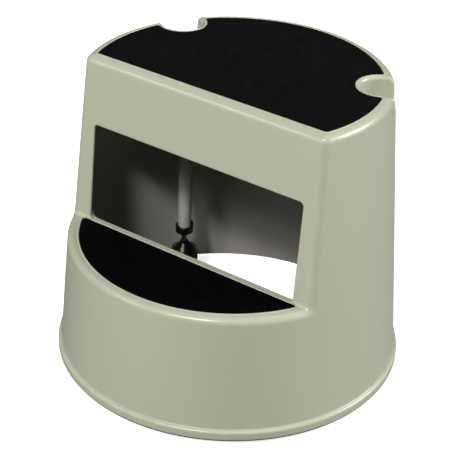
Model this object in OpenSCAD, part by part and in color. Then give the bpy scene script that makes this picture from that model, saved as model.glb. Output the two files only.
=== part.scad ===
// Kick step stool: a moulded round drum with a tall rear platform, a low front
// step, a foot window between them and three sprung twin-wheel casters inside.
// Millimetres, +Z up, origin on the floor under the centre of the base ring.

/* [Body] */
// Diameter over the base rim
base_d = 470; // [440:1:500]
// Height of the moulded body, base rim underside to upper platform
body_h = 403; // [395:1:430]
// Radius of the drum wall at the upper platform
top_r = 202; // [199:1:206]
// Radius the drum wall would have at the base rim underside
foot_r = 231.5; // [230:0.5:232]
// Thickness of the moulded walls
wall = 4.5; // [4:0.1:5.5]
// Height of the base rim
rim_h = 15; // [12:1:18]
// Height of the base rim above the floor with nobody on the stool
lift = 8; // [7:0.5:8]

/* [Steps] */
// Height of the lower step above the base rim underside
step_h = 175; // [165:1:185]
// Distance of the front face in front of the centre, at the upper platform
face_y = 77; // [72:1:82]
// Forward lean of the front face, in millimetres for each millimetre down
face_lean = 0.09; // [0.06:0.01:0.11]
// Thickness of the tread mats
mat_t = 3; // [2.5:0.5:3]
// Radius of the upper tread mat
mat_r = 189; // [186:1:190]
// Distance of the upper mat's straight edge in front of the centre
mat_y = 62.7; // [60:0.1:64]
// Radius of the lower tread mat's curved edge
low_mat_r = 197.7; // [196:0.1:199]
// Distance of the lower mat's arc centre in front of the stool's centre
low_mat_c = 8.5; // [8:0.1:9]
// Distance of the lower mat's straight edge in front of the centre
low_mat_y = 100.5; // [100:0.1:103]

/* [Foot window] */
// Half of the width of the window
win_half = 166; // [150:1:168]
// Height of the window's top edge above the base rim underside
win_top = 311; // [300:1:320]
// Radius of the window's upper corners
win_corner = 7; // [5:1:12]
// Distance of the step's rear lip in front of the centre
lip_y = 88; // [84:1:90]
// Depth of the step's rear lip
lip_h = 20; // [14:1:26]

/* [Hand notches] */
// Distance of a notch's arc centre from the stool's centre
notch_c = 184; // [180:1:188]
// Radius of a notch
notch_r = 27.5; // [25:0.5:28]
// Depth of a notch below the upper platform
notch_d = 32; // [26:1:36]
// Width of the bare land around a notch, up to the mat
notch_land = 6.5; // [5:0.5:7]

/* [Casters] */
// Distance of a caster stem from the centre
post_c = 165; // [162:1:166]
// Outer radius of a caster post
post_ro = 9.5; // [9.5:0.5:10]
// Bore radius of a caster post
post_ri = 7.25; // [7.25:0.05:7.4]
// Height of a post's lower end above the floor
post_z = 92; // [92:1:93]
// Radius of a caster stem
stem_r = 4; // [4:0.1:4.2]
// Wheel radius
wheel_r = 27; // [25:0.5:27]
// Trail: distance of the axle behind the stem
trail = 17; // [15:1:18]
// Direction that the casters trail in, degrees from +X
trail_dir = 128; // [0:1:359]
// Height that a spring takes up at rest
spring_h = 45; // [42:1:46]

/* [Hidden] */
$fn = 96;

putty = [0.70, 0.69, 0.60];
black = [0.07, 0.07, 0.08];
steel = [0.62, 0.63, 0.65];
rubber = [0.10, 0.10, 0.11];

FRONT = 270;
LEFT = 150;
RIGHT = 30;

rim_r = base_d / 2;
top_fillet = 10;
plate_z = body_h - mat_t - wall;       // underside of the upper platform
step_under = step_h - mat_t - wall;    // underside of the lower step
boss_r = post_ro + 4;
boss_h = 14;
web_t = 6;                             // web inside a post that the spring pushes on
spring_z = post_z + 4.2;               // seat of the spring on the stem's flange
neck_z = 77;                           // top of a caster hood
axle_r = 3;
wheel_gap = 4.5;                       // half of the gap between the twin wheels
wheel_w = 13.5;

function wall_r(z) = foot_r + (top_r - foot_r) * z / body_h;
function face_at(z) = -(face_y + (body_h - z) * face_lean);
function arc_pts(cx, cy, r, a0, a1, n) =
    [for (i = [0 : n]) let (a = a0 + (a1 - a0) * i / n) [cx + r * cos(a), cy + r * sin(a)]];

// A profile drawn in (y, z) and carried across the stool along X
module across(half = 260) { rotate([90, 0, 90]) linear_extrude(height = 2 * half, center = true) children(); }

// Placement on the caster stations and on the two notch stations
module at_station(a) { rotate([0, 0, a]) translate([post_c, 0, 0]) rotate([0, 0, -a]) children(); }
module at_notches() { for (a = [RIGHT, LEFT]) rotate([0, 0, a]) children(); }

// Outside of the moulded body before any opening, rim underside at z = 0
module drum_outside() {
    f = top_fillet;
    rotate_extrude($fn = 180) polygon(concat(
        [[0, 0], [rim_r - 3, 0], [rim_r - 0.9, 0.9], [rim_r, 3], [rim_r, rim_h - 4],
         [rim_r - 0.9, rim_h - 1.7], [rim_r - 2.6, rim_h - 0.6], [wall_r(rim_h) + 0.4, rim_h],
         [wall_r(rim_h + 1), rim_h + 1]],
        arc_pts(wall_r(body_h) - f + 0.4, body_h - f, f, 4, 90, 8),
        [[0, body_h]]));
}

// Side profile: full round below the step, flat leaning face above it
module side_outside() {
    f = top_fillet;
    y0 = face_at(body_h);
    polygon(concat(
        [[260, -5], [260, body_h + 5], [y0 + f, body_h + 5]],
        arc_pts(y0 + f, body_h - f, f, 90, 175, 6),
        [[face_at(step_h), step_h], [-260, step_h], [-260, -5]]));
}

module side_inside() {
    polygon([[260, -5], [260, plate_z],
        [face_at(plate_z) + wall, plate_z], [face_at(step_h) + wall, step_h],
        [-lip_y, step_h], [-lip_y, step_h - lip_h], [-lip_y - wall, step_h - lip_h],
        [-lip_y - wall, step_under], [-260, step_under], [-260, -5]]);
}

module drum_inside() {
    rotate_extrude($fn = 180) polygon([[0, -5], [wall_r(-5) - wall, -5],
        [wall_r(body_h) - wall, body_h], [0, body_h]]);
}

// A U-shaped notch open to the top and to the side
module notch_block(r, z0) {
    translate([notch_c, 0, z0]) {
        cylinder(r = r, h = body_h + 20 - z0);
        translate([0, -r, 0]) cube([80, 2 * r, body_h + 20 - z0]);
    }
}

module upper_mat_outline(grow) {
    difference() {
        intersection() {
            circle(r = mat_r + grow, $fn = 180);
            translate([-260, -mat_y - grow]) square([520, 520]);
        }
        for (a = [RIGHT, LEFT]) rotate(a) translate([notch_c, 0]) {
            circle(r = notch_r + notch_land - grow);
            translate([0, -(notch_r + notch_land - grow)]) square([80, 2 * (notch_r + notch_land - grow)]);
        }
    }
}

module lower_mat_outline(grow) {
    intersection() {
        translate([0, -low_mat_c]) circle(r = low_mat_r + grow, $fn = 180);
        translate([-260, -low_mat_y + grow - 400]) square([520, 400]);
    }
}

module window_cut() {
    translate([0, -45, 0]) rotate([90, 0, 0]) linear_extrude(height = 90) union() {
        translate([-win_half, step_h]) square([2 * win_half, win_top - win_corner - step_h]);
        translate([-win_half + win_corner, step_h]) square([2 * (win_half - win_corner), win_top - step_h]);
        for (s = [-1, 1]) translate([s * (win_half - win_corner), win_top - win_corner]) circle(r = win_corner);
    }
}

module body_shell() {
    color(putty) translate([0, 0, lift]) difference() {
        union() {
            difference() {
                intersection() {
                    drum_outside();
                    across() side_outside();
                }
                difference() {
                    intersection() {
                        drum_inside();
                        across() side_inside();
                    }
                    at_notches() notch_block(notch_r + 4, body_h - notch_d - 4);
                }
            }
            // sockets that the caster posts press into
            for (a = [LEFT, RIGHT]) at_station(a)
                translate([0, 0, body_h - notch_d - 3 - boss_h]) cylinder(r = boss_r, h = boss_h);
            at_station(FRONT) translate([0, 0, step_under - boss_h + 1]) cylinder(r = boss_r, h = boss_h);
        }
        for (a = [LEFT, RIGHT]) at_station(a)
            translate([0, 0, body_h - notch_d - 5 - boss_h]) cylinder(r = post_ro, h = boss_h + 1);
        at_station(FRONT) translate([0, 0, step_under - boss_h - 1]) cylinder(r = post_ro, h = boss_h + 1);
        at_notches() notch_block(notch_r, body_h - notch_d);
        window_cut();
        translate([0, 0, body_h - mat_t]) linear_extrude(height = 20) upper_mat_outline(0.5);
        translate([0, 0, step_h - mat_t]) linear_extrude(height = mat_t + 1) lower_mat_outline(0.5);
        // groove for the floor grip ring
        translate([0, 0, -1]) rotate_extrude($fn = 180) translate([foot_r - 2.5, 0]) square([4, 4]);
    }
}

module upper_tread() {
    color(rubber) translate([0, 0, lift + body_h - mat_t]) linear_extrude(height = mat_t) upper_mat_outline(0);
}

module lower_tread() {
    color(rubber) translate([0, 0, lift + step_h - mat_t]) linear_extrude(height = mat_t) lower_mat_outline(0);
}

module floor_grip_ring() {
    color(rubber) rotate_extrude($fn = 180) translate([foot_r - 2.5, lift - 1]) polygon(
        [[0.6, 0], [3.4, 0], [4, 0.6], [4, 4], [0, 4], [0, 0.6]]);
}

// Post: a tube with a web inside, which the spring pushes against
module post(a, top) {
    color(putty) at_station(a) difference() {
        translate([0, 0, post_z]) cylinder(r = post_ro, h = top - post_z);
        translate([0, 0, post_z - 1]) cylinder(r = post_ri, h = spring_z + spring_h - post_z + 1);
        translate([0, 0, spring_z + spring_h + web_t]) cylinder(r = post_ri, h = 400);
    }
}
module front_post() { post(FRONT, lift + step_under); }
module rear_left_post() { post(LEFT, lift + body_h - notch_d - 4); }
module rear_right_post() { post(RIGHT, lift + body_h - notch_d - 4); }

// Retainer: a cup clipped on the end of the post, which guides the stem
module retainer(a) {
    color(black) at_station(a) union() {
        rotate_extrude() polygon([[stem_r + 0.06, post_z - 2], [8, post_z - 2], [10.6, post_z - 0.2], [13, post_z + 3.4],
            [13, post_z + 10], [post_ro, post_z + 10], [post_ro, post_z], [stem_r + 0.06, post_z]]);
        intersection() {
            translate([0, 0, post_z + 9]) difference() {
                cylinder(r = 13, h = 6.5);
                translate([0, 0, -1]) cylinder(r = post_ro + 0.6, h = 9);
            }
            rotate([0, 0, a + 90]) translate([-15, -5.5, post_z + 8]) cube([30, 11, 9]);
        }
    }
}
module front_retainer() { retainer(FRONT); }
module rear_left_retainer() { retainer(LEFT); }
module rear_right_retainer() { retainer(RIGHT); }

// Compression spring inside a post
module spring(a) {
    wire = 0.8;
    r = 5.9;
    turns = 8;
    n = 14 * turns;
    k = 6;
    z0 = spring_z + wire + 0.05;
    z1 = spring_z + spring_h - wire - 0.05;
    slope = atan2((z1 - z0), turns * 360 * PI * r / 180);
    pts = [for (i = [0 : n], j = [0 : k - 1])
        let (t = 360 * turns * i / n, p = 360 * j / k,
             cr = r + wire * cos(p), cz = wire * sin(p))
        [cr * cos(t) + cz * sin(slope) * sin(t), cr * sin(t) - cz * sin(slope) * cos(t),
         z0 + (z1 - z0) * i / n + cz * cos(slope)]];
    tris = [for (i = [0 : n - 1], j = [0 : k - 1], s = [0, 1])
        let (q = i * k + j, u = i * k + (j + 1) % k, v = q + k, w = u + k)
        s == 0 ? [q, u, v] : [u, w, v]];
    cap0 = [for (j = [k - 1 : -1 : 0]) j];
    cap1 = [for (j = [0 : k - 1]) n * k + j];
    color(steel) at_station(a) polyhedron(points = pts, faces = concat(tris, [cap0], [cap1]), convexity = 10);
}
module front_spring() { spring(FRONT); }
module rear_left_spring() { spring(LEFT); }
module rear_right_spring() { spring(RIGHT); }

// Stem: a rod with a flange that slides in the post, and a groove for its clip
module stem(a) {
    color(steel) at_station(a) difference() {
        union() {
            translate([0, 0, 52.05]) cylinder(r = stem_r, h = spring_z + 7 - 52.05);
            translate([0, 0, post_z + 0.1]) cylinder(r = post_ri - 0.3, h = spring_z - post_z - 0.1);
        }
        translate([0, 0, 59]) difference() {
            cylinder(r = 6, h = 1.6);
            translate([0, 0, -1]) cylinder(r = 3.2, h = 4);
        }
    }
}
module front_stem() { stem(FRONT); }
module rear_left_stem() { stem(LEFT); }
module rear_right_stem() { stem(RIGHT); }

// Split ring that keeps the hood on the stem
module stem_clip(a) {
    color(steel) at_station(a) translate([0, 0, 59.1]) difference() {
        cylinder(r = 4.5, h = 1.4);
        translate([0, 0, -1]) cylinder(r = 3.25, h = 4);
        translate([0, -1.2, -1]) cube([6, 2.4, 4]);
    }
}
module front_stem_clip() { stem_clip(FRONT); }
module rear_left_stem_clip() { stem_clip(LEFT); }
module rear_right_stem_clip() { stem_clip(RIGHT); }

// Caster body: bell around the stem, web between the wheels, fender over them
module on_axle(a) { at_station(a) rotate([0, 0, trail_dir]) translate([trail, 0, wheel_r]) children(); }
module caster_hood(a) {
    half = wheel_gap + wheel_w + 1.5;
    color(black) difference() {
        union() {
            at_station(a) rotate_extrude() polygon([[0, 46], [19.4, 46], [19.8, 56], [18.9, 62], [16.6, 67],
                [12.8, 70.6], [8.8, 72.6], [6.6, 74.4], [5.8, neck_z], [0, neck_z]]);
            intersection() {
                on_axle(a) rotate([90, 0, 0]) cylinder(r = wheel_r + 3.8, h = 2 * half, center = true);
                on_axle(a) translate([-60, -40, -2]) cube([120, 80, 60]);
            }
            on_axle(a) rotate([90, 0, 0]) cylinder(r = 21, h = 2 * wheel_gap - 0.6, center = true);
        }
        for (s = [-1, 1]) on_axle(a) rotate([-s * 90, 0, 0])
            translate([0, 0, wheel_gap - 0.3]) cylinder(r = wheel_r + 1.3, h = 40);
        on_axle(a) rotate([90, 0, 0]) cylinder(r = axle_r, h = 60, center = true);
        at_station(a) translate([0, 0, 52]) cylinder(r = stem_r + 0.06, h = 40);
        at_station(a) translate([0, 0, 58.8]) cylinder(r = 4.8, h = 2);
    }
}
module front_caster_hood() { caster_hood(FRONT); }
module rear_left_caster_hood() { caster_hood(LEFT); }
module rear_right_caster_hood() { caster_hood(RIGHT); }

module axle(a) {
    far = wheel_gap + wheel_w;
    color(steel) on_axle(a) union() {
        rotate([90, 0, 0]) cylinder(r = axle_r, h = 2 * far + 2, center = true);
        for (s = [-1, 1]) rotate([-s * 90, 0, 0]) translate([0, 0, far + 0.3]) cylinder(r = 4.8, h = 1);
    }
}
module front_axle() { axle(FRONT); }
module rear_left_axle() { axle(LEFT); }
module rear_right_axle() { axle(RIGHT); }

module wheel(a, s) {
    w0 = wheel_gap;
    w1 = wheel_gap + wheel_w;
    color(black) on_axle(a) rotate([-s * 90, 0, 0]) rotate_extrude() polygon([
        [axle_r + 0.06, w0], [wheel_r - 2.5, w0], [wheel_r - 0.8, w0 + 0.8], [wheel_r, w0 + 2.5],
        [wheel_r, w1 - 3], [wheel_r - 0.9, w1 - 0.9], [wheel_r - 2.8, w1], [21, w1],
        [19.8, w1 - 2.6], [9.4, w1 - 2.6], [8.4, w1], [axle_r + 0.06, w1]]);
}
module front_wheel_1() { wheel(FRONT, 1); }
module front_wheel_2() { wheel(FRONT, -1); }
module rear_left_wheel_1() { wheel(LEFT, 1); }
module rear_left_wheel_2() { wheel(LEFT, -1); }
module rear_right_wheel_1() { wheel(RIGHT, 1); }
module rear_right_wheel_2() { wheel(RIGHT, -1); }

body_shell();
upper_tread();
lower_tread();
floor_grip_ring();
front_post();
rear_left_post();
rear_right_post();
front_retainer();
rear_left_retainer();
rear_right_retainer();
front_spring();
rear_left_spring();
rear_right_spring();
front_stem();
rear_left_stem();
rear_right_stem();
front_stem_clip();
rear_left_stem_clip();
rear_right_stem_clip();
front_caster_hood();
rear_left_caster_hood();
rear_right_caster_hood();
front_axle();
rear_left_axle();
rear_right_axle();
front_wheel_1();
front_wheel_2();
rear_left_wheel_1();
rear_left_wheel_2();
rear_right_wheel_1();
rear_right_wheel_2();
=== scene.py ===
from math import atan2, cos, degrees, hypot, pi, radians, sin, sqrt

import bpy
import numpy as np
from mathutils import Matrix, Vector


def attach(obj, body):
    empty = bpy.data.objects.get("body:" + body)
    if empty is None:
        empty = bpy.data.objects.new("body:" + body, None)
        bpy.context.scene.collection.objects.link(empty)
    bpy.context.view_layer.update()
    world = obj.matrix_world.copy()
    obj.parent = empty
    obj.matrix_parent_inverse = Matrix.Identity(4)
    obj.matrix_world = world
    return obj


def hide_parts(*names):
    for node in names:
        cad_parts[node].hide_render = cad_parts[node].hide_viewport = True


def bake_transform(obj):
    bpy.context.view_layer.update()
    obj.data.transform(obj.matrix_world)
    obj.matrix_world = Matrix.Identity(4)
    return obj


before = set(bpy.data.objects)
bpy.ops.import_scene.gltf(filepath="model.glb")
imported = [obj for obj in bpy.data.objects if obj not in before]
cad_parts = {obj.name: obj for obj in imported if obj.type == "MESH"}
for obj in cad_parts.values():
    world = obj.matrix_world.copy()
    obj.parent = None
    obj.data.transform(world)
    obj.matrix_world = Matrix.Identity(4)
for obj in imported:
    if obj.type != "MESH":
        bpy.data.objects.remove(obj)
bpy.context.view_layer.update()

scene = bpy.context.scene
scene.view_settings.view_transform = "Standard"

# ---------------------------------------------------------------- dimensions (millimetres)
LIFT = 8.0                                   # base rim above the floor
BODY_H, TOP_R, FOOT_R, WALL, STEP = 403.0, 202.0, 231.5, 4.5, 175.0
FACE_Y, LEAN = 77.0, 0.09
LAND = 1.0                                   # the land round a mat lies this much below its bead
CA = 1 / sqrt(1 + ((FOOT_R - TOP_R) / BODY_H) ** 2)
CB = 1 / sqrt(1 + LEAN ** 2)
POST_C, POST_Z, WHEEL_R, TRAIL, TRAIL_DIR = 165.0, 92.0, 27.0, 17.0, 128.0
STATIONS = {"front": 270, "rear_left": 150, "rear_right": 30}


def station_xy(name):
    a = radians(STATIONS[name])
    return POST_C * cos(a), POST_C * sin(a)


# ---------------------------------------------------------------- camera, at the viewing angle of the stool
def make_camera():
    az, el, roll = radians(35.61), radians(30.2), radians(2.0)
    back = Vector((sin(az) * cos(el), -cos(az) * cos(el), sin(el)))
    place = (Vector((-2.06, 0, 181.58)) + back * 2050.2) / 1000
    x = Vector((0, 0, 1)).cross(back).normalized()
    y = back.cross(x)
    x2, y2 = cos(roll) * x + sin(roll) * y, -sin(roll) * x + cos(roll) * y
    cam = bpy.data.cameras.new("camera")
    cam.sensor_width = 36
    cam.lens = 1524.3 * 36 / 460
    cam.clip_start, cam.clip_end = 0.05, 50
    o = bpy.data.objects.new("camera", cam)
    o.matrix_world = Matrix(((x2.x, y2.x, back.x, place.x), (x2.y, y2.y, back.y, place.y),
                             (x2.z, y2.z, back.z, place.z), (0, 0, 0, 1)))
    scene.collection.objects.link(o)
    scene.camera = o


make_camera()


# ---------------------------------------------------------------- distance fields
def r_int(a, b, r):
    """Intersection with a round convex edge of radius r."""
    u, v = np.maximum(r + a, 0), np.maximum(r + b, 0)
    return np.minimum(-r, np.maximum(a, b)) + np.sqrt(u * u + v * v)


def r_uni(a, b, r):
    """Union with a round hollow corner of radius r."""
    u, v = np.maximum(r - a, 0), np.maximum(r - b, 0)
    return np.maximum(r, np.minimum(a, b)) - np.sqrt(u * u + v * v)


def rbox2(u, v, hu, hv, r):
    """2-D rounded box."""
    qu, qv = np.abs(u) - (hu - r), np.abs(v) - (hv - r)
    return np.hypot(np.maximum(qu, 0), np.maximum(qv, 0)) + np.minimum(np.maximum(qu, qv), 0) - r


def poly2(points, a, b):
    """Signed distance to a polygon in the plane (a, b), negative inside."""
    best, sign = None, None
    for (x0, y0), (x1, y1) in zip(points[-1:] + points[:-1], points):
        ex, ey = x1 - x0, y1 - y0
        wx, wy = a - x0, b - y0
        t = np.clip((wx * ex + wy * ey) / (ex * ex + ey * ey), 0, 1)
        d = (wx - ex * t) ** 2 + (wy - ey * t) ** 2
        c1, c2, c3 = b >= y0, b < y1, ex * wy > ey * wx
        flip = (c1 & c2 & c3) | (~c1 & ~c2 & ~c3)
        best = d if best is None else np.minimum(best, d)
        sign = np.where(flip, -1.0, 1.0) if sign is None else sign * np.where(flip, -1.0, 1.0)
    return sign * np.sqrt(best)


def smooth01(t):
    t = np.clip(t, 0, 1)
    return t * t * (3 - 2 * t)


def planes(lo, hi, coarse, fine):
    """Grid planes from lo to hi, finer in the given (from, to, step) spans."""
    out = [lo]
    while out[-1] < hi:
        s = coarse
        for a, b, f in fine:
            if a <= out[-1] < b:
                s = min(s, f)
            elif out[-1] < a < out[-1] + s:
                s = max(a - out[-1], f)
        out.append(out[-1] + s)
    return np.array(out, np.float64)


# ---------------------------------------------------------------- surface of a field as even quads
def corner_groups():
    """For each of the 256 corner patterns of a cell: which group of joined outside corners a corner is in."""
    table, count = np.full((256, 8), -1, np.int64), np.zeros(256, np.int64)
    for mask in range(256):
        for c in range(8):
            if mask >> c & 1 or table[mask, c] >= 0:
                continue
            todo = [c]
            while todo:
                d = todo.pop()
                if mask >> d & 1 or table[mask, d] >= 0:
                    continue
                table[mask, d] = count[mask]
                todo += [d ^ 1, d ^ 2, d ^ 4]
            count[mask] += 1
    return table, count


GROUP, GROUPS = corner_groups()


def surface_nets(fn, xs, ys, zs):
    """Zero surface of fn on a rectilinear grid: points and outward quads. A cell that a thin wall crosses gets a point on each side."""
    X, Y, Z = (a.astype(np.float32) for a in (xs[:, None, None], ys[None, :, None], zs[None, None, :]))
    F = np.broadcast_to(fn(X, Y, Z), (len(xs), len(ys), len(zs)))
    S = F < 0
    n = [len(xs), len(ys), len(zs)]
    mask = np.zeros([m - 1 for m in n], np.int64)
    for c in range(8):
        i, j, k = c & 1, c >> 1 & 1, c >> 2 & 1
        mask |= S[i:n[0] - 1 + i, j:n[1] - 1 + j, k:n[2] - 1 + k].astype(np.int64) << c
    act = np.argwhere((mask > 0) & (mask < 255))
    am = mask[act[:, 0], act[:, 1], act[:, 2]]
    base = np.concatenate([[0], np.cumsum(GROUPS[am])])
    total = int(base[-1])
    ids = np.full(mask.shape, -1, np.int64)
    ids[act[:, 0], act[:, 1], act[:, 2]] = base[:-1]
    grid = (xs, ys, zs)
    P, W = np.zeros((total, 3)), np.zeros(total)
    for c0 in range(8):
        for ax in range(3):
            if c0 >> ax & 1:
                continue
            c1 = c0 | 1 << ax
            hit = np.nonzero((am >> c0 & 1) != (am >> c1 & 1))[0]
            a0 = act[hit] + np.array([c0 & 1, c0 >> 1 & 1, c0 >> 2 & 1])
            a1 = a0.copy(); a1[:, ax] += 1
            f0 = F[a0[:, 0], a0[:, 1], a0[:, 2]].astype(np.float64)
            f1 = F[a1[:, 0], a1[:, 1], a1[:, 2]].astype(np.float64)
            t = f0 / (f0 - f1)
            p = np.stack([grid[d][a0[:, d]] for d in range(3)], 1)
            p[:, ax] += t * (grid[ax][a1[:, ax]] - grid[ax][a0[:, ax]])
            outside = np.where(am[hit] >> c0 & 1, c1, c0)
            v = base[hit] + GROUP[am[hit], outside]
            for d in range(3):
                P[:, d] += np.bincount(v, weights=p[:, d], minlength=total)
            W += np.bincount(v, minlength=total)
    P /= np.maximum(W, 1)[:, None]
    quads = []
    for ax in range(3):
        o1, o2 = [(1, 2), (2, 0), (0, 1)][ax]
        sl0, sl1 = [slice(None)] * 3, [slice(None)] * 3
        sl0[ax], sl1[ax] = slice(0, n[ax] - 1), slice(1, n[ax])
        for o in (o1, o2):
            sl0[o] = sl1[o] = slice(1, n[o] - 1)
        A, B = S[tuple(sl0)], S[tuple(sl1)]
        for first, flip in ((A & ~B, False), (~A & B, True)):
            c = np.argwhere(first)
            c[:, o1] += 1; c[:, o2] += 1
            q = []
            for a, b in ((-1, -1), (0, -1), (0, 0), (-1, 0)):
                d = c.copy(); d[:, o1] += a; d[:, o2] += b
                corner = ((0 if flip else 1) << ax) | ((1 if a else 0) << o1) | ((1 if b else 0) << o2)
                m = mask[d[:, 0], d[:, 1], d[:, 2]]
                q.append(ids[d[:, 0], d[:, 1], d[:, 2]] + GROUP[m, corner])
            q = np.stack(q, 1)
            quads.append(q[:, ::-1] if flip else q)
    return P, np.concatenate(quads)


def gradient(fn, P, h=0.05):
    G = np.zeros_like(P)
    for a in range(3):
        d = np.zeros(3); d[a] = h
        u, v = P + d, P - d
        G[:, a] = (fn(u[:, 0], u[:, 1], u[:, 2]) - fn(v[:, 0], v[:, 1], v[:, 2])) / (2 * h)
    return G


def unit(G):
    return G / np.maximum(np.linalg.norm(G, axis=1, keepdims=True), 1e-9)


def project(fn, P, steps=3, cap=1.5):
    """Puts points on the zero surface."""
    for _ in range(steps):
        f = fn(P[:, 0], P[:, 1], P[:, 2])
        G = gradient(fn, P)
        d = (f / np.maximum((G * G).sum(1), 0.25))[:, None] * G
        L = np.linalg.norm(d, axis=1, keepdims=True)
        P = P - d * np.minimum(1, cap / np.maximum(L, 1e-9))
    return P


def relax(fn, P, Q, rounds=3, w=0.5, cap=1.5):
    """Evens out the quads along the surface and keeps the points on it."""
    E = np.concatenate([Q[:, [0, 1]], Q[:, [1, 2]], Q[:, [2, 3]], Q[:, [3, 0]]])
    E = np.concatenate([E, E[:, ::-1]])
    deg = np.bincount(E[:, 0], minlength=len(P)).astype(float)[:, None]
    for _ in range(rounds):
        S = np.stack([np.bincount(E[:, 0], weights=P[E[:, 1], a], minlength=len(P)) for a in range(3)], 1)
        N = unit(gradient(fn, P))
        d = S / deg - P
        d -= (d * N).sum(1, keepdims=True) * N
        P = project(fn, P + w * d, 1, cap)
    return P


def skin(fn, xs, ys, zs, rounds=3, cap=1.5):
    P, Q = surface_nets(fn, xs, ys, zs)
    P = project(fn, P, 3, cap)
    P = relax(fn, P, Q, rounds, 0.5, cap)
    P = project(fn, P, 2, cap)
    return P, Q


# ---------------------------------------------------------------- meshes and objects
def quad_mesh(name, P, Q):
    me = bpy.data.meshes.new(name)
    me.vertices.add(len(P))
    me.vertices.foreach_set("co", (np.asarray(P) / 1000).astype(np.float32).ravel())
    me.loops.add(Q.size)
    me.loops.foreach_set("vertex_index", Q.astype(np.int32).ravel())
    me.polygons.add(len(Q))
    me.polygons.foreach_set("loop_start", np.arange(0, Q.size, Q.shape[1], dtype=np.int32))
    me.update(calc_edges=True)
    me.validate()
    return me


def face_mesh(name, P, faces):
    me = bpy.data.meshes.new(name)
    me.from_pydata([tuple(float(v) / 1000 for v in p) for p in P], [], [list(map(int, f)) for f in faces])
    me.validate()
    me.update()
    return me


def shade(me, N=None, sharp=None):
    me.shade_smooth()
    if sharp is not None:
        me.set_sharp_from_angle(angle=radians(sharp))
    if N is not None:
        me.normals_split_custom_set_from_vertices(unit(N).tolist())


def put(name, me, body, slot, material, *nodes):
    o = bpy.data.objects.new(name, me)
    scene.collection.objects.link(o)
    me.materials.clear()
    me.materials.append(material)
    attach(o, body)
    if nodes:
        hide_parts(*nodes)
    return o


def lathe(profile, segments=96, closed=True):
    """Revolves a closed (r, z) profile, drawn anticlockwise in the (r, z) plane, about Z."""
    P, rings = [], []
    for r, z in profile:
        if r < 1e-6:
            rings.append([len(P)] * segments)
            P.append((0, 0, z))
        else:
            rings.append(list(range(len(P), len(P) + segments)))
            P += [(r * cos(2 * pi * i / segments), r * sin(2 * pi * i / segments), z) for i in range(segments)]
    faces = []
    n = len(profile)
    for k in range(n):
        a, b = rings[k], rings[(k + 1) % n]
        if a[0] == a[1] and b[0] == b[1]:
            continue
        for i in range(segments):
            j = (i + 1) % segments
            f = [a[i], a[j], b[j], b[i]]
            f = [v for m, v in enumerate(f) if v != f[m - 1]]
            if len(f) > 2:
                faces.append(f)
    return np.array(P, float), faces


def round_profile(points, radius, steps=4):
    """Rounds the corners of a closed (r, z) profile. A corner may carry its own radius as a third number."""
    out = []
    n = len(points)
    for i in range(n):
        p = points[i]
        rad = p[2] if len(p) > 2 else radius
        a, b, c = (np.array(points[k % n][:2], float) for k in (i - 1, i, i + 1))
        u, v = a - b, c - b
        lu, lv = np.linalg.norm(u), np.linalg.norm(v)
        if rad < 1e-6 or lu < 1e-9 or lv < 1e-9:
            out.append(tuple(b)); continue
        u, v = u / lu, v / lv
        ang = np.arccos(np.clip(u @ v, -1, 1))
        if ang > radians(176):
            out.append(tuple(b)); continue
        t = min(rad / np.tan(ang / 2), 0.45 * lu, 0.45 * lv)
        rr = t * np.tan(ang / 2)
        mid = (u + v) / np.linalg.norm(u + v)
        centre = b + mid * rr / np.sin(ang / 2)
        s, e = b + u * t - centre, b + v * t - centre
        a0, a1 = atan2(s[1], s[0]), atan2(e[1], e[0])
        da = (a1 - a0 + pi) % (2 * pi) - pi
        for k in range(steps + 1):
            w = a0 + da * k / steps
            out.append((centre[0] + rr * cos(w), centre[1] + rr * sin(w)))
    return out


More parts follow.
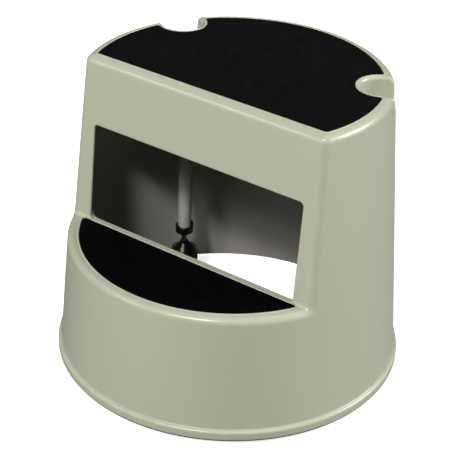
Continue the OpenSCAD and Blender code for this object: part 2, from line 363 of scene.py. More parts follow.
# ---------------------------------------------------------------- materials
class Nodes:
    """A material's node tree, with the object's own coordinates in metres."""

    def __init__(self, name):
        self.m = bpy.data.materials.new(name)
        self.m.use_nodes = True
        self.t = self.m.node_tree
        self.b = self.t.nodes["Principled BSDF"]
        self.co = self.t.nodes.new("ShaderNodeTexCoord").outputs["Object"]

    def new(self, kind, inputs=None, **props):
        n = self.t.nodes.new(kind)
        for k, v in props.items():
            setattr(n, k, v)
        for k, v in (inputs or {}).items():
            if hasattr(v, "is_output") or isinstance(v, bpy.types.NodeSocket):
                self.t.links.new(v, n.inputs[k])
            else:
                n.inputs[k].default_value = v
        return n

    def noise(self, scale, detail=3.0, rough=0.55, vector=None, distortion=0.0):
        return self.new("ShaderNodeTexNoise", {"Vector": vector or self.co, "Scale": scale, "Detail": detail,
                                               "Roughness": rough, "Distortion": distortion}).outputs["Fac"]

    def voronoi(self, scale, feature="F1", vector=None):
        return self.new("ShaderNodeTexVoronoi", {"Vector": vector or self.co, "Scale": scale},
                        feature=feature).outputs["Distance"]

    def span(self, value, a, b, c=0.0, d=1.0):
        return self.new("ShaderNodeMapRange", {"Value": value, "From Min": a, "From Max": b, "To Min": c,
                                               "To Max": d}).outputs["Result"]

    def math(self, op, a, b=0.5, c=None):
        n = self.t.nodes.new("ShaderNodeMath")
        n.operation = op
        for k, v in ((0, a), (1, b), (2, c)):
            if v is None:
                continue
            if isinstance(v, bpy.types.NodeSocket):
                self.t.links.new(v, n.inputs[k])
            else:
                n.inputs[k].default_value = v
        return n.outputs[0]

    def mix(self, fac, a, b, blend="MIX"):
        n = self.t.nodes.new("ShaderNodeMix")
        n.data_type = "RGBA"
        n.blend_type = blend
        for s, v in ((n.inputs["Factor"], fac), (n.inputs["A"] if False else n.inputs[6], a), (n.inputs[7], b)):
            if isinstance(v, bpy.types.NodeSocket):
                self.t.links.new(v, s)
            else:
                s.default_value = v if not isinstance(v, tuple) or len(v) == 4 else (*v, 1)
        return n.outputs[2]

    def attribute(self, name):
        return self.new("ShaderNodeAttribute", attribute_name=name).outputs["Fac"]

    def bump(self, height, strength, distance, normal=None):
        inputs = {"Height": height, "Strength": strength, "Distance": distance}
        if normal is not None:
            inputs["Normal"] = normal
        return self.new("ShaderNodeBump", inputs).outputs["Normal"]

    def link(self, value, socket):
        self.t.links.new(value, self.b.inputs[socket])

    def set(self, **values):
        for k, v in values.items():
            self.b.inputs[k.replace("_", " ")].default_value = v


def body_plastic():
    """Putty moulded plastic: fine grain, faint flow mottling, polished and scuffed edges, and a rougher interior whose
    colour is painted darker as painted shade.
    """
    n = Nodes("body_plastic")
    inner, edge, hollow = n.attribute("inner"), n.attribute("edge"), n.attribute("hollow")
    flow = n.noise(7.0, 2, 0.5, distortion=0.6)
    fleck = n.noise(240.0, 1, 0.5)
    col = n.mix(n.span(flow, 0.0, 1.0), (0.440, 0.455, 0.349), (0.456, 0.466, 0.357))
    col = n.mix(n.span(fleck, 0.35, 0.75, 0.0, 0.05), col, (0.400, 0.412, 0.316))
    # hollow corners and creases are darker in patches, edges are rubbed lighter
    col = n.mix(n.math("MULTIPLY", hollow, n.span(n.noise(90.0, 4, 0.6), 0.3, 0.7, 0.05, 0.22)), col, (0.300, 0.295, 0.225))
    rub = n.math("MULTIPLY", edge, n.span(n.noise(60.0, 5, 0.65), 0.42, 0.62))
    col = n.mix(n.math("MULTIPLY", rub, 0.45), col, (0.600, 0.590, 0.470))
    # dull scuffs low on the drum
    xyz = n.new("ShaderNodeSeparateXYZ", {"Vector": n.co})
    low = n.span(xyz.outputs["Z"], 0.010, 0.070, 1.0, 0.0)
    stretched = n.new("ShaderNodeMapping", {"Vector": n.co, "Scale": (1.0, 1.0, 3.5)}).outputs["Vector"]
    scuff = n.math("MULTIPLY", low, n.span(n.noise(42.0, 6, 0.7, stretched), 0.56, 0.68))
    col = n.mix(n.math("MULTIPLY", scuff, 0.22), col, (0.250, 0.240, 0.200))
    # interior of the moulding: rougher, and its colour painted darker as painted shade
    interior_painted_shade = n.mix(n.span(n.noise(16.0, 4, 0.6), 0.3, 0.7), (0.378, 0.366, 0.330), (0.405, 0.391, 0.353))
    col = n.mix(inner, col, interior_painted_shade)
    n.link(col, "Base Color")
    rough = n.math("ADD", n.span(n.noise(30.0, 2, 0.5), 0.0, 1.0, 0.275, 0.305), n.math("MULTIPLY", scuff, 0.2))
    rough = n.math("SUBTRACT", rough, n.math("MULTIPLY", rub, 0.08))
    n.link(n.math("ADD", rough, n.math("MULTIPLY", inner, 0.30)), "Roughness")
    wave = n.bump(n.noise(14.0, 1, 0.5), 0.08, 0.0005)
    grain = n.bump(n.noise(450.0, 1, 0.5), 0.01, 0.0002, wave)
    n.link(grain, "Normal")
    n.set(IOR=1.47, Specular_IOR_Level=0.5)
    return n.m


def tread_rubber(name, gain):
    """Near-black mat rubber: closed pebble grain with dust in it, smoother where feet polish it. The gain scales its
    colour and shine: one rubber for both mats, painted lighter on the upper and darker on the lower as painted light
    and shade.
    """
    n = Nodes(name)
    cells = n.voronoi(520.0)
    cells2 = n.voronoi(1150.0)
    worn = n.noise(11.0, 4, 0.6)
    tone = n.noise(230.0, 3, 0.65)
    col = n.mix(n.span(tone, 0.35, 0.7), tuple(gain * v for v in (0.0016, 0.0013, 0.0014)),
                tuple(gain * v for v in (0.0042, 0.0032, 0.0034)))
    dust = n.math("MULTIPLY", n.span(n.noise(75.0, 5, 0.7), 0.52, 0.74), n.span(cells, 0.3, 0.7))
    col = n.mix(n.math("MULTIPLY", dust, 0.35), col, tuple(gain * v for v in (0.012, 0.0095, 0.0095)))
    n.link(col, "Base Color")
    n.link(n.math("ADD", n.span(worn, 0.35, 0.7, 0.62, 0.80), n.math("MULTIPLY", dust, 0.12)), "Roughness")
    h = n.math("ADD", n.math("MULTIPLY", cells, -1.0), n.math("MULTIPLY", cells2, -0.35))
    n.link(n.bump(h, 0.55, 0.0006), "Normal")
    n.set(IOR=1.5, Specular_IOR_Level=0.055 * gain)
    return n.m


def black_plastic(name, base, rough, dusty=0.3, grain=1500.0, shine=0.5):
    n = Nodes(name)
    edge = n.attribute("edge")
    tone = n.noise(120.0, 4, 0.6)
    lighter = tuple(2.1 * v for v in base)
    col = n.mix(n.span(tone, 0.3, 0.7), base, lighter)
    dust = n.span(n.noise(210.0, 5, 0.7), 0.50, 0.75)
    col = n.mix(n.math("MULTIPLY", dust, dusty), col, (0.055, 0.050, 0.045))
    rub = n.math("MULTIPLY", edge, n.span(n.noise(300.0, 4, 0.6), 0.45, 0.6))
    col = n.mix(n.math("MULTIPLY", rub, 0.35), col, (0.060, 0.060, 0.062))
    n.link(col, "Base Color")
    n.link(n.math("ADD", n.span(tone, 0.3, 0.7, rough - 0.04, rough + 0.06), n.math("MULTIPLY", dust, dusty * 0.5)), "Roughness")
    n.link(n.bump(n.noise(grain, 2, 0.5), 0.16, 0.0002, n.bump(n.noise(80.0, 3, 0.5), 0.2, 0.0004)), "Normal")
    n.set(IOR=1.49, Specular_IOR_Level=shine)
    return n.m


def post_plastic():
    n = Nodes("post_plastic")
    long = n.new("ShaderNodeMapping", {"Vector": n.co, "Scale": (1.0, 1.0, 0.06)}).outputs["Vector"]
    streak = n.noise(700.0, 4, 0.6, long)
    cloud = n.noise(24.0, 3, 0.5)
    col = n.mix(n.span(cloud, 0.3, 0.7), (0.420, 0.460, 0.400), (0.470, 0.510, 0.445))
    col = n.mix(n.span(streak, 0.45, 0.75, 0.0, 0.25), col, (0.240, 0.250, 0.200))
    n.link(col, "Base Color")
    n.link(n.span(streak, 0.3, 0.7, 0.34, 0.46), "Roughness")
    n.link(n.bump(streak, 0.12, 0.0002), "Normal")
    n.set(IOR=1.47)
    return n.m


def steel(name, base, rough, streaks=900.0, rust=0.0):
    """Drawn wire and rod: long fine scratches, dull blotches of the plating."""
    n = Nodes(name)
    long = n.new("ShaderNodeMapping", {"Vector": n.co, "Scale": (1.0, 1.0, 0.05)}).outputs["Vector"]
    scratch = n.noise(streaks, 4, 0.65, long)
    blotch = n.noise(140.0, 4, 0.6)
    col = n.mix(n.span(scratch, 0.35, 0.7), base, tuple(0.72 * v for v in base))
    col = n.mix(n.math("MULTIPLY", n.span(blotch, 0.55, 0.72), 0.3 + rust), col, (0.16, 0.12, 0.09))
    n.link(col, "Base Color")
    n.link(n.math("ADD", n.span(scratch, 0.3, 0.7, rough - 0.05, rough + 0.10),
                  n.math("MULTIPLY", n.span(blotch, 0.5, 0.75), 0.15)), "Roughness")
    n.link(n.bump(scratch, 0.15, 0.00012), "Normal")
    n.set(Metallic=1.0)
    return n.m


def grip_rubber():
    n = Nodes("grip_rubber")
    tone = n.noise(160.0, 4, 0.65)
    col = n.mix(n.span(tone, 0.3, 0.7), (0.010, 0.010, 0.010), (0.022, 0.021, 0.020))
    grit = n.span(n.noise(420.0, 4, 0.7), 0.55, 0.72)
    col = n.mix(n.math("MULTIPLY", grit, 0.4), col, (0.075, 0.070, 0.062))
    n.link(col, "Base Color")
    n.link(n.span(tone, 0.3, 0.7, 0.66, 0.82), "Roughness")
    n.link(n.bump(n.noise(900.0, 3, 0.6), 0.35, 0.0003), "Normal")
    n.set(Specular_IOR_Level=0.35)
    return n.m


M_BODY, M_GRIP, M_POST = body_plastic(), grip_rubber(), post_plastic()
# both mats are one rubber: gain 1.35 paints the upper lighter and 0.7 the lower darker, as painted light and shade
M_UPPER, M_LOWER = tread_rubber("upper_tread_rubber_painted_lighter", 1.35), tread_rubber("lower_tread_rubber_painted_darker", 0.7)
M_RETAINER = black_plastic("retainer_plastic", (0.0022, 0.0021, 0.0021), 0.36, 0.05)
M_HOOD = black_plastic("hood_plastic", (0.0024, 0.0024, 0.0026), 0.28, 0.05, 1500.0, 0.22)
M_WHEEL = black_plastic("wheel_plastic", (0.008, 0.008, 0.008), 0.46, 0.45, 1100.0)
M_STEM = steel("stem_steel", (0.36, 0.36, 0.37), 0.30)
M_SPRING = steel("spring_steel", (0.42, 0.42, 0.43), 0.34, 1400.0)


# ---------------------------------------------------------------- moulded body
def wall_r(z):
    return FOOT_R + (TOP_R - FOOT_R) * z / BODY_H


def notch2(x, y, r, a):
    c, s = cos(radians(a)), sin(radians(a))
    u, v = c * x + s * y - 184.0, -s * x + c * y
    return np.where(u > 0, np.abs(v), np.sqrt(u * u + v * v)) - r


def notches2(x, y, r):
    return np.minimum(notch2(x, y, r, 30), notch2(x, y, r, 150))


def face_at(z):
    return -(FACE_Y + (BODY_H - z) * LEAN)


UNDER = BODY_H - 3 - WALL
CAVITY = [(300.0, -80.0), (300.0, UNDER), (face_at(UNDER) + WALL, UNDER), (face_at(STEP) + WALL, STEP),
          (-88.0, STEP), (-88.0, STEP - 20), (-92.5, STEP - 20), (-92.5, STEP - 7.5), (-300.0, STEP - 7.5), (-300.0, -80.0)]


def cavity(x, y, z):
    """Inside of the moulding, z from the rim's underside."""
    rho = np.sqrt(x * x + y * y)
    icone = (rho - (wall_r(z) - WALL)) * CA
    cav = r_int(poly2(CAVITY, y + 0 * z, z + 0 * y), icone, 3.0)
    pocket = r_int(notches2(x, y, 27.5), (BODY_H - 32.0) - z, 4.0)
    # rounded corners where the window's jambs stand on the step
    corner = r_uni(166.0 - np.abs(x) + 0 * z, z - (STEP - LAND) + 0 * x, 8.0)
    corner = r_int(r_int(corner, y + 88.0, 1.5), z - (STEP + 8.0), 1.5)
    corner = np.maximum(corner, (STEP - 7.0) - z)
    cav = r_int(cav, -corner, 1.0)
    return r_int(cav, 4.4 - pocket, 2.5)


def shell(x, y, z):
    z = z - LIFT
    rho = np.sqrt(x * x + y * y)
    cone = (rho - wall_r(z)) * CA
    face = (-(FACE_Y + (BODY_H - z) * LEAN) - y) * CB
    win = np.maximum(rbox2(x, z - 150.0, 166.0, 161.0, 5.5), y + 46.0)
    # upper block with its window, on the lower block, both turned to the drum
    block = r_uni(r_int(face, -win, 2.2), z - (STEP - LAND), 6.0)
    out = r_int(cone, block, 8.0)
    out = r_int(out, z - (BODY_H - LAND), 9.5)
    rim = rbox2(rho - 229.0, z - 7.4, 6.0, 7.4, 4.2)
    out = r_uni(out, rim, 1.6)
    pocket = r_int(notches2(x, y, 27.5), (BODY_H - 32.0) - z, 4.0)
    out = r_int(out, -pocket, 4.5)
    body = r_int(out, -cavity(x, y, z), 1.8)
    body = np.maximum(body, -z)
    for ang, z0, z1 in ((150, 354.0, 370.0), (30, 354.0, 370.0), (270, 154.5, 170.0)):
        cx, cy = POST_C * cos(radians(ang)), POST_C * sin(radians(ang))
        q = np.sqrt((x - cx) ** 2 + (y - cy) ** 2)
        ring = np.maximum(np.maximum(q - 13.5, 9.6 - q), np.maximum(z0 - z, z - z1))
        body = r_uni(body, ring, 1.5)
    return body


def upper_outline(x, y):
    m = r_int(np.sqrt(x * x + y * y) - 189.0, -62.7 - y, 3.2)
    return r_int(m, -notches2(x, y, 34.0), 4.0)


def lower_outline(x, y):
    return r_int(np.sqrt(x * x + (y + 8.5) ** 2) - 197.7, y + 98.9, 5.5)


def trace(fn2, centre, reach, spacing):
    """The zero line of a 2-D field as evenly spaced points, anticlockwise, with its outward normals."""
    a = np.linspace(0, 2 * pi, 1440, endpoint=False)
    c, s = np.cos(a), np.sin(a)
    r = np.linspace(0, reach, 500)[:, None]
    v = fn2(centre[0] + r * c, centre[1] + r * s) > 0
    k = v.argmax(0)
    P = np.stack([centre[0] + r[k, 0] * c, centre[1] + r[k, 0] * s], 1)

    def grad(P, h=0.02):
        return np.stack([(fn2(P[:, 0] + h, P[:, 1]) - fn2(P[:, 0] - h, P[:, 1])) / (2 * h),
                         (fn2(P[:, 0], P[:, 1] + h) - fn2(P[:, 0], P[:, 1] - h)) / (2 * h)], 1)

    for _ in range(6):
        for _ in range(4):
            G = grad(P)
            P = P - (fn2(P[:, 0], P[:, 1]) / np.maximum((G * G).sum(1), 0.25))[:, None] * G
        L = np.concatenate([[0], np.cumsum(np.linalg.norm(np.roll(P, -1, 0) - P, axis=1))])
        n = int(round(L[-1] / spacing))
        t = np.linspace(0, L[-1], n, endpoint=False)
        Q = np.concatenate([P, P[:1]])
        P = np.stack([np.interp(t, L, Q[:, 0]), np.interp(t, L, Q[:, 1])], 1)
    for _ in range(3):
        G = grad(P)
        P = P - (fn2(P[:, 0], P[:, 1]) / np.maximum((G * G).sum(1), 0.25))[:, None] * G
    return P, unit(grad(P))


def sweep(line, normals, section, z0):
    """Carries a closed (offset, height) section round a closed line."""
    n, m = len(line), len(section)
    P = [(p[0] + d * q[0], p[1] + d * q[1], z0 + h) for p, q in zip(line, normals) for d, h in section]
    faces = [[i * m + j, ((i + 1) % n) * m + j, ((i + 1) % n) * m + (j + 1) % m, i * m + (j + 1) % m]
             for i in range(n) for j in range(m)]
    return np.array(P), faces


def prism(line, z0, z1):
    n = len(line)
    P = [(p[0], p[1], z0) for p in line] + [(p[0], p[1], z1) for p in line]
    faces = [list(range(n))[::-1], list(range(n, 2 * n))]
    faces += [[i, (i + 1) % n, n + (i + 1) % n, n + i] for i in range(n)]
    return np.array(P), faces


BEAD = [(0.2, -1.6), (3.25, -1.6), (3.2, -0.02), (2.85, 0.30), (2.35, 0.66), (1.85, 0.90), (1.4, 0.98), (1.0, 0.94), (0.72, 0.76),
        (0.55, 0.44), (0.46, 0.0), (0.2, -0.2)]


def make_body():
    xs = planes(-239.3, 239, 4.05, [(-172, -160, 2.2), (160, 172, 2.2)])
    ys = planes(-239.3, 239, 4.05, [(-102, -84, 2.2), (-84, -66, 2.8)])
    zs = planes(5.0, 414.5, 12.0, [(5, 26, 1.6), (26, 34, 4.0), (158, 192, 2.0), (192, 200, 4.0), (306, 312, 3.0),
                                   (312, 324, 1.9), (324, 330, 3.0), (350, 382, 3.0), (382, 398, 5.0), (398, 414.5, 1.7)])
    P, Q = skin(shell, xs, ys, zs)
    me = quad_mesh("body_shell_moulding", P, Q)
    o = bpy.data.objects.new("body_shell_moulding", me)
    scene.collection.objects.link(o)
    tools = []
    for fn2, centre, land in ((upper_outline, (0, 0), BODY_H - LAND), (lower_outline, (0, -150), STEP - LAND)):
        line, nor = trace(fn2, centre, 260, 1.5)
        B = face_mesh("bead", *sweep(line, nor, BEAD, land + LIFT))
        R = face_mesh("recess", *prism(line + 0.5 * nor, land + LIFT - 2.4, land + LIFT + 4))
        for op, tool in (("UNION", B), ("DIFFERENCE", R)):
            t = bpy.data.objects.new("tool", tool)
            scene.collection.objects.link(t)
            tools.append(t)
            mod = o.modifiers.new("cut", "BOOLEAN")
            mod.operation, mod.solver, mod.object = op, "MANIFOLD", t
    bpy.context.view_layer.update()
    made = bpy.data.meshes.new_from_object(o.evaluated_get(bpy.context.evaluated_depsgraph_get()))
    bpy.data.objects.remove(o)
    bpy.data.meshes.remove(me)
    for t in tools:
        d = t.data
        bpy.data.objects.remove(t)
        bpy.data.meshes.remove(d)
    made.name = "body_shell_moulding"
    finish_body(made)
    return made


def finish_body(me):
    """Exact normals on the moulding, creased ones on the beads and recesses, and the masks: worn edges, hollow corners,
    and the interior, which the material paints darker as painted shade.
    """
    V = np.zeros(len(me.vertices) * 3, np.float32)
    me.vertices.foreach_get("co", V)
    V = V.reshape(-1, 3).astype(float) * 1000
    N = unit(gradient(shell, V))
    me.shade_smooth()
    me.set_sharp_from_angle(angle=radians(32))
    corner = np.zeros(len(me.loops) * 3, np.float32)
    me.corner_normals.foreach_get("vector", corner)
    corner = corner.reshape(-1, 3).astype(float)
    loops = np.zeros(len(me.loops), np.int32)
    me.loops.foreach_get("vertex_index", loops)
    start, total = np.zeros(len(me.polygons), np.int32), np.zeros(len(me.polygons), np.int32)
    me.polygons.foreach_get("loop_start", start)
    me.polygons.foreach_get("loop_total", total)
    face = np.repeat(np.arange(len(start)), total)
    C = np.stack([np.bincount(face, weights=V[loops, a]) for a in range(3)], 1) / total[:, None]
    z = C[:, 2] - LIFT
    off = np.zeros(len(C), bool)
    for fn2, land in ((upper_outline, BODY_H - LAND), (lower_outline, STEP - LAND)):
        m = fn2(C[:, 0], C[:, 1])
        off |= (m < 3.3) & (m > -400) & (z > land - 2.6) & (z < land - 0.03) & (m < 0.56)
        off |= (m < 3.3) & (m > 0.3) & (z > land + 0.005) & (z < land + 1.1)
    f0 = shell(V[:, 0], V[:, 1], V[:, 2])
    exact = ~off[face] & (np.abs(f0[loops]) < 0.25)
    new = np.where(exact[:, None], N[loops], corner)
    me.normals_split_custom_set(unit(new).tolist())
    # the interior mask: the body material paints it darker as painted shade, and rougher
    cav = cavity(V[:, 0], V[:, 1], V[:, 2] - LIFT)
    inner = 1 - smooth01((cav - 0.1) / 0.7)
    inner = np.where(V[:, 2] < LIFT + 0.3, 0.0, inner)
    h = 1.6
    lap = -6 * f0
    for a in range(3):
        d = np.zeros(3); d[a] = h
        for s in (1, -1):
            U = V + s * d
            lap = lap + shell(U[:, 0], U[:, 1], U[:, 2])
    lap /= h * h
    masks = {"inner": inner, "edge": np.clip(lap * 6 - 0.25, 0, 1), "hollow": np.clip(-lap * 6 - 0.15, 0, 1)}
    bead = np.zeros(len(V), bool)
    for fn2, land in ((upper_outline, BODY_H - LAND), (lower_outline, STEP - LAND)):
        m = fn2(V[:, 0], V[:, 1])
        bead |= (m > 0.2) & (m < 3.4) & (np.abs(V[:, 2] - LIFT - land - 0.52) < 0.5)
    masks["edge"] = np.where(bead, 0.8, masks["edge"])
    for name, value in masks.items():
        me.attributes.new(name, "FLOAT", "POINT").data.foreach_set("value", value.astype(np.float32))


def hash01(i, j, k):
    h = (i * 374761393 + j * 668265263 + k * 974634777) & 0xFFFFFFFF
    h = ((h ^ (h >> 13)) * 1274126177) & 0xFFFFFFFF
    return ((h ^ (h >> 16)) & 0xFFFF) / 65535.0


def pebbles(x, y, size, key):
    """Rounded pebbles on a jittered lattice: 1 on their crowns, 0 in the grooves."""
    i0, j0 = np.floor(x / size).astype(np.int64), np.floor(y / size).astype(np.int64)
    d1 = np.full(x.shape, 9.0)
    d2 = np.full(x.shape, 9.0)
    for di in (-1, 0, 1):
        for dj in (-1, 0, 1):
            i, j = i0 + di, j0 + dj
            cx = (i + 0.5 + 0.7 * (hash01(i, j, key) - 0.5)) * size
            cy = (j + 0.5 + 0.7 * (hash01(i, j, key + 1) - 0.5)) * size
            d = np.hypot(x - cx, y - cy) / size
            d2 = np.minimum(np.maximum(d1, d), d2)
            d1 = np.minimum(d1, d)
    return smooth01((d2 - d1) / 0.35)


def make_tread(name, fn2, land, box, step, key):
    """Mat with a rounded edge and a pebbled top, in its recess."""
    z0, z1 = LIFT + land - 2.4, LIFT + land + 0.55
    mid, half = (z0 + z1) / 2, (z1 - z0) / 2

    def field(x, y, z):
        return r_int(fn2(x, y) + 0.05, np.abs(z - mid) - half, 0.8)

    xs, ys = np.arange(box[0], box[1], step), np.arange(box[2], box[3], step)
    zs = np.array([z0 - 0.9, z0 + 0.5, mid, z1 - 0.55, z1 + 0.7])
    P, Q = skin(field, xs, ys, zs, 4, 0.6)
    N = gradient(field, P)
    top = (N[:, 2] > 0.7) & (P[:, 2] > mid)
    fade = smooth01((-fn2(P[:, 0], P[:, 1]) - 1.2) / 3.0)
    peb = pebbles(P[:, 0], P[:, 1], 4.6, key)
    P[:, 2] -= np.where(top, 0.34 * (1 - peb) * fade, 0)
    me = quad_mesh(name, P, Q)
    shade(me, None, 50)
    return me


put("body_shell_moulding", make_body(), "stool", "body_plastic", M_BODY, "body_shell")
put("upper_tread_mat", make_tread("upper_tread_mat", upper_outline, BODY_H - LAND, (-194, 194, -68, 194), 1.55, 11),
    "stool", "tread_rubber", M_UPPER, "upper_tread")
put("lower_tread_mat", make_tread("lower_tread_mat", lower_outline, STEP - LAND, (-184, 184, -211, -96), 1.3, 29),
    "stool", "tread_rubber", M_LOWER, "lower_tread")

# ---------------------------------------------------------------- floor grip ring
ring = round_profile([(229.6, 7.0), (232.4, 7.0), (233.0, 8.2), (233.0, 11.0), (229.0, 11.0), (229.0, 8.2)], 0.5, 3)
P, F = lathe(ring, 360)
me = face_mesh("grip_ring", P, F)
shade(me, None, 40)
put("grip_ring", me, "stool", "grip_rubber", M_GRIP, "floor_grip_ring")


# ---------------------------------------------------------------- casters
def shifted(P, name):
    x, y = station_xy(name)
    return np.asarray(P) + np.array([x, y, 0.0])


def axle_frame(x, y, z):
    """Coordinates at a station: along the trail from the axle, along the axle, above the axle."""
    c, s = cos(radians(TRAIL_DIR)), sin(radians(TRAIL_DIR))
    return c * x + s * y - TRAIL, -s * x + c * y, z - WHEEL_R


BELL = [(0.0, 46.0), (17.2, 46.0), (17.4, 53.5), (16.6, 58.2), (14.0, 62.6), (10.8, 66.4), (7.8, 69.8), (5.7, 72.6),
        (4.7, 75.0), (4.7, 76.0), (0.0, 76.0)]


def hood_field(x, y, z):
    q0 = np.sqrt(x * x + y * y)
    s, t, h = axle_frame(x, y, z)
    q = np.sqrt(s * s + h * h)
    bell = poly2(BELL, q0, z) - 1.0
    fender = r_int(q - 30.2, np.abs(t) - 18.6, 8.5)
    fender = r_int(fender, 25.0 - z, 1.2)
    web = r_int(q - 21.0, np.abs(t) - 4.2, 1.0)
    out = r_uni(r_uni(fender, bell, 10.0), web, 2.0)
    well = r_int(q - 28.4, 4.2 - np.abs(t), 0.8)
    out = r_int(out, -well, 0.7)
    # the bores for the axle and the stem, and the groove for the stem's clip
    out = np.maximum(out, 3.05 - q)
    out = np.maximum(out, -np.maximum(q0 - 4.1, 52.0 - z))
    return np.maximum(out, -np.maximum(q0 - 4.8, np.abs(z - 59.8) - 1.0))


def retainer_field(angle):
    c, s = cos(radians(angle)), sin(radians(angle))

    def field(x, y, z):
        q = np.sqrt(x * x + y * y)
        u = -s * x + c * y
        rim = 101.4 + 3.4 * smooth01((np.abs(u) / 13.0 - 0.70) / 0.18)
        cup = poly2([(4.5, 90.5), (11.4, 90.5), (12.5, 91.8), (12.5, 112.0), (4.5, 112.0)], q, z) - 0.5
        cup = r_int(cup, (z - rim) * 0.8, 0.7)
        cup = r_int(cup, -np.maximum(q - 9.6, 92.05 - z), 0.5)
        return np.maximum(cup, 4.1 - q)

    return field


WHEEL = [(3.5, 5.0), (24.2, 5.0), (25.7, 5.6), (26.5, 7.2), (26.5, 14.8), (25.8, 16.6), (24.0, 17.5), (21.4, 17.5),
         (20.2, 14.9), (9.0, 14.9), (8.2, 17.5), (3.5, 17.5)]


def wheel_field(side):
    """Twin wheel: rounded tyre, dished face with six ribs round the hub."""

    def field(x, y, z):
        s, t, h = axle_frame(x, y, z)
        t = t * side
        q = np.sqrt(s * s + h * h)
        a = np.arctan2(h, s)
        k = (a + pi / 6) % (pi / 3) - pi / 6
        body = poly2(WHEEL, q, t) - 0.5
        rib = r_int(np.abs(q * np.sin(k)) - 1.3, np.maximum(t - 17.0, 12.0 - t), 0.6)
        rib = np.maximum(rib, np.maximum(q - 22.5, 7.0 - q))
        body = r_uni(body, rib, 0.8)
        groove = np.hypot(t - 11.25, q - 27.4) - 0.9
        body = np.maximum(body, -groove)
        return np.maximum(body, 3.06 - q)

    return field


def edge_mask(me, fn, P, gain=1.6, h=0.7):
    f0 = fn(P[:, 0], P[:, 1], P[:, 2])
    lap = -6 * f0
    for a in range(3):
        d = np.zeros(3); d[a] = h
        for s in (1, -1):
            U = P + s * d
            lap = lap + fn(U[:, 0], U[:, 1], U[:, 2])
    me.attributes.new("edge", "FLOAT", "POINT").data.foreach_set(
        "value", np.clip(lap / (h * h) * gain - 0.5, 0, 1).astype(np.float32))


def coil(r, wire, z0, z1, turns, closed_pitch, n=40, k=12):
    """Wound spring with a closed, ground turn at each end."""
    t = np.arange(int(turns * n) + 1) / n
    lo, hi = z0 + 0.5 * wire, z1 - 0.5 * wire
    z = np.interp(t, [0.0, 1.0, turns - 1.0, turns], [lo, lo + closed_pitch, hi - closed_pitch, hi])
    a, p = 2 * pi * t[:, None], 2 * pi * np.arange(k)[None, :] / k
    slope = np.arctan2(np.gradient(z, t), 2 * pi * r)[:, None]
    cr, cz = r + wire * np.cos(p), wire * np.sin(p)
    P = np.stack([cr * np.cos(a) + cz * np.sin(slope) * np.sin(a), cr * np.sin(a) - cz * np.sin(slope) * np.cos(a),
                  np.clip(z[:, None] + cz * np.cos(slope), z0, z1)], 2).reshape(-1, 3)
    F = [[q * k + j, q * k + (j + 1) % k, (q + 1) * k + (j + 1) % k, (q + 1) * k + j]
         for q in range(len(t) - 1) for j in range(k)]
    last = (len(t) - 1) * k
    return P, F + [list(range(k - 1, -1, -1)), list(range(last, last + k))]


ax, ay = TRAIL * cos(radians(TRAIL_DIR)), TRAIL * sin(radians(TRAIL_DIR))
hood = skin(hood_field, np.arange(ax - 38, 24, 1.25), np.arange(-24, ay + 38, 1.25), np.arange(4.0, 79.5, 1.25), 3, 0.8)
hood_n = gradient(hood_field, hood[0])
wheels = {}
for i, side in ((1, 1), (2, -1)):
    w = skin(wheel_field(side), np.arange(ax - 33, ax + 33, 1.15), np.arange(ay - 33, ay + 33, 1.15),
             np.arange(-1.6, 57, 1.15), 3, 0.6)
    wheels[i] = (*w, gradient(wheel_field(side), w[0]), wheel_field(side))

post_front, post_rear = LIFT + STEP - 7.5, LIFT + BODY_H - 36.0
stem_line = round_profile([(0.0, 52.05, 0), (3.7, 52.05, 0), (4.0, 52.6, 0), (4.0, 59.0, 0), (3.2, 59.0, 0), (3.2, 60.6, 0),
                           (4.0, 60.6, 0), (4.0, 92.1, 0.2), (6.95, 92.1, 0.3), (6.95, 96.2, 0.3), (4.0, 96.2, 0.2),
                           (4.0, 102.4, 0.5), (3.3, 103.2, 0.3), (0.0, 103.2, 0)], 0.0, 3)
axle_line = round_profile([(0.0, -19.25, 0), (3.6, -19.2, 0.8), (4.7, -18.75, 0.4), (4.7, -18.35, 0.1), (3.0, -18.35, 0),
                           (3.0, 18.35, 0), (4.7, 18.35, 0.1), (4.7, 18.75, 0.4), (3.6, 19.2, 0.8), (0.0, 19.25, 0)], 0.0, 3)
a128 = radians(TRAIL_DIR)

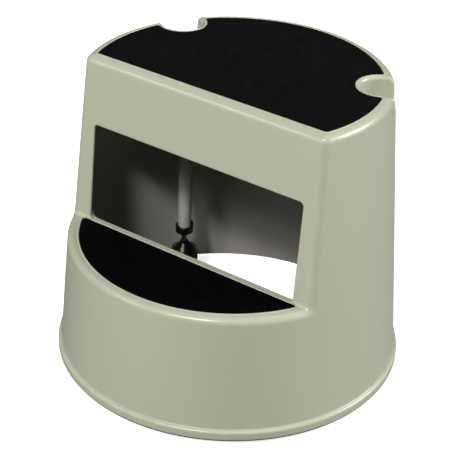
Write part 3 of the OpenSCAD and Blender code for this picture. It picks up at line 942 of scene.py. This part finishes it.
for name, angle in STATIONS.items():
    top = post_front if name == "front" else post_rear
    tube = round_profile([(7.25, 92.0, 0.4), (9.5, 92.0, 0.5), (9.5, top, 0.2), (7.25, top, 0.2), (7.25, 147.2, 0.2),
                          (0.0, 147.2, 0), (0.0, 141.6, 0), (7.25, 141.6, 0.1)], 0.0, 3)
    P, F = lathe(tube, 96)
    me = face_mesh(name + "_post_tube", shifted(P, name), F)
    shade(me, None, 40)
    put(name + "_post_tube", me, "stool", "post_plastic", M_POST, name + "_post")

    f = retainer_field(angle)
    P, Q = skin(f, np.arange(-15, 15.01, 0.75), np.arange(-15, 15.01, 0.75), np.arange(88.3, 110, 0.75), 3, 0.5)
    me = quad_mesh(name + "_retainer_cup", shifted(P, name), Q)
    edge_mask(me, f, P)
    shade(me, gradient(f, P, 0.03))
    put(name + "_retainer_cup", me, "stool", "retainer_plastic", M_RETAINER, name + "_retainer")

    P, F = lathe(stem_line, 72)
    me = face_mesh(name + "_stem_rod", shifted(P, name), F)
    shade(me, None, 38)
    put(name + "_stem_rod", me, name + "_plunger", "stem_steel", M_STEM, name + "_stem")

    me = quad_mesh(name + "_hood", shifted(hood[0], name), hood[1])
    edge_mask(me, hood_field, hood[0], 2.2, 0.9)
    shade(me, hood_n)
    put(name + "_hood", me, name + "_swivel", "hood_plastic", M_HOOD, name + "_caster_hood")

    P, F = lathe(axle_line, 64)
    # the lathe's axis is laid along the axle
    Q = np.stack([P[:, 0], P[:, 2], -P[:, 1]], 1)
    R = np.stack([cos(a128) * (Q[:, 0] + TRAIL) - sin(a128) * Q[:, 1], sin(a128) * (Q[:, 0] + TRAIL) + cos(a128) * Q[:, 1],
                  Q[:, 2] + WHEEL_R], 1)
    me = face_mesh(name + "_axle_pin", shifted(R, name), F)
    shade(me, None, 38)
    put(name + "_axle_pin", me, name + "_swivel", "stem_steel", M_STEM, name + "_axle")

    for i in (1, 2):
        W, Q, G, fw = wheels[i]
        me = quad_mesh(f"{name}_tyre_{i}", shifted(W, name), Q)
        edge_mask(me, fw, W)
        shade(me, G)
        put(f"{name}_tyre_{i}", me, f"{name}_wheel_{i}", "wheel_plastic", M_WHEEL, f"{name}_wheel_{i}")

    P, F = coil(5.9, 0.8, 96.25, 141.15, 9.0, 1.66)
    me = face_mesh(name + "_coil", shifted(P, name), F)
    shade(me, None, 40)
    me.materials.clear()
    me.materials.append(M_SPRING)
    o = bpy.data.objects.new(name + "_coil", me)
    scene.collection.objects.link(o)
    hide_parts(name + "_spring")
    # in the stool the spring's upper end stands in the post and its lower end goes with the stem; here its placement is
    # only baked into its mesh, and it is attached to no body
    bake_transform(o)

    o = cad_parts[name + "_stem_clip"]
    o.data.materials.clear()
    o.data.materials.append(M_STEM)


# ---------------------------------------------------------------- floor and lights
def plane(name, z, half, material):
    me = face_mesh(name, [(-half, -half, z), (half, -half, z), (half, half, z), (-half, half, z)], [[0, 1, 2, 3]])
    me.materials.append(material)
    o = bpy.data.objects.new(name, me)
    scene.collection.objects.link(o)
    return o


n = Nodes("floor_white")
n.set(Roughness=0.9, Specular_IOR_Level=0.1, Base_Color=(0.78, 0.78, 0.77, 1), Emission_Color=(1, 1, 1, 1), Emission_Strength=0.80)
seen = plane("floor", 0.0, 9000.0, n.m)
seen.visible_diffuse = seen.visible_glossy = seen.visible_shadow = False
# pale surround, behind everything, seen by the camera only
wall = face_mesh("surround", *lathe([(8800.0, -0.4), (8850.0, -0.4), (8850.0, 9000.0), (8800.0, 9000.0)], 64))
wall.materials.append(n.m)
surround = bpy.data.objects.new("surround", wall)
scene.collection.objects.link(surround)
surround.visible_diffuse = surround.visible_glossy = surround.visible_transmission = surround.visible_shadow = False
n = Nodes("floor_bounce")
n.set(Roughness=0.9, Specular_IOR_Level=0.1, Base_Color=(0.24, 0.24, 0.236, 1))
under = plane("floor_bounce", -0.6, 9000.0, n.m)
under.visible_camera = False


def area(name, azimuth, elevation, distance, size, power, colour=(1, 1, 1), target=(0, 0, 0.2)):
    a, e = radians(azimuth), radians(elevation)
    d = Vector((cos(a) * cos(e), sin(a) * cos(e), sin(e)))
    light = bpy.data.lights.new(name, "AREA")
    light.shape, light.size, light.energy, light.color = "DISK", size, power, colour
    o = bpy.data.objects.new(name, light)
    o.location = Vector(target) + d * distance
    o.rotation_euler = d.to_track_quat("Z", "Y").to_euler()
    scene.collection.objects.link(o)
    return o


area("key", -75.0, 45.6, 6.0, 0.68, 190, (1.0, 0.99, 0.965))
area("key_soft", -89.5, 42.5, 6.0, 1.1, 106, (1.0, 0.99, 0.965))
area("fill_right", 38, 26, 6.0, 3.0, 355)
area("fill_left", -128, 30, 6.0, 2.1, 80)
area("fill_front", -100, 27, 6.0, 2.1, 20)
world = bpy.data.worlds.new("world")
scene.world = world
world.use_nodes = True
world.node_tree.nodes["Background"].inputs["Color"].default_value = (1, 1, 1, 1)
world.node_tree.nodes["Background"].inputs["Strength"].default_value = 0.03
